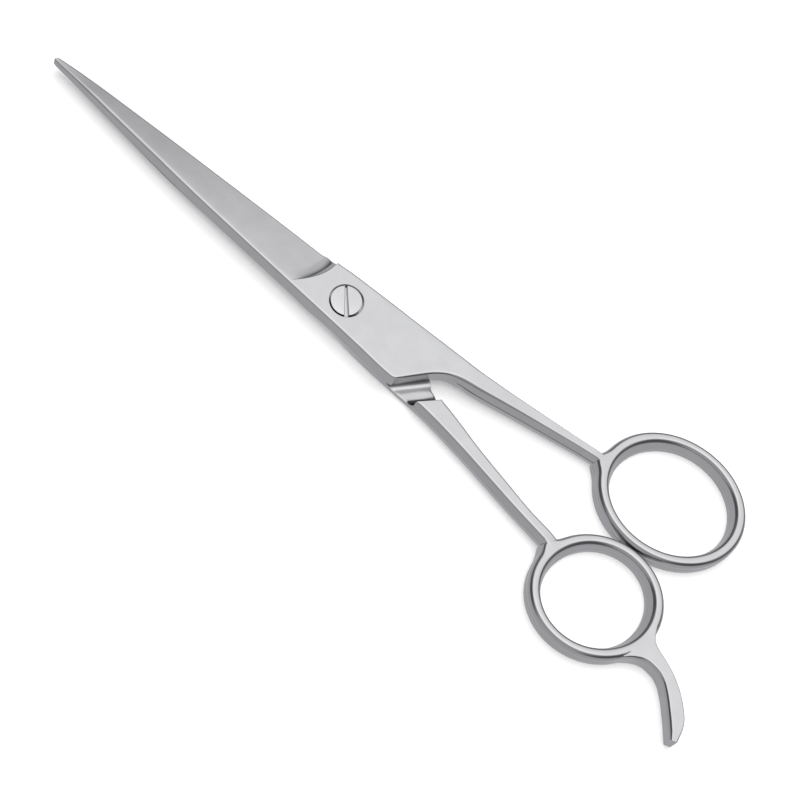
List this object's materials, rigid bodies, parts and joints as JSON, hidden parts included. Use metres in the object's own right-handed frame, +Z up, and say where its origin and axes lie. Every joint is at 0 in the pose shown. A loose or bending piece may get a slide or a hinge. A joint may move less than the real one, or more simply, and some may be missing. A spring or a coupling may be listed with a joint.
{
  "type": "hair cutting shears",
  "caption": "Offset-handle hair cutting shears: two crossed hollow-ground steel halves on a slotted pivot screw, with oval finger rings and a curved finger tang.",
  "frame": {"origin": "on the pivot axis, level with the flat underside of the pivot block that the shears rest on", "axes": "+X from the blade tips back to the finger rings, +Z up along the pivot axis towards the screw head, +Y to the side of the thumb ring"},
  "size_m": [0.1813, 0.0537, 0.0065],
  "materials": {
    "blade_steel": "satin",
    "screw_steel": "satin"
  },
  "bodies": {
    "finger_half": {"finger_half": "blade_steel"},
    "thumb_half": {"thumb_half": "blade_steel"},
    "pivot_screw": {"pivot_screw": "screw_steel"}
  },
  "joints": [
    {"name": "pivot", "type": "hinge", "parent": "finger_half", "child": "thumb_half", "pos_m": [0, 0, 0.0028], "axis": [0, 0, 1], "range_deg": [0, 75]},
    {"name": "screw_turn", "type": "hinge", "parent": "finger_half", "child": "pivot_screw", "pos_m": [0, 0, 0.0028], "axis": [0, 0, 1], "range_deg": [-45, 45]}
  ]
}
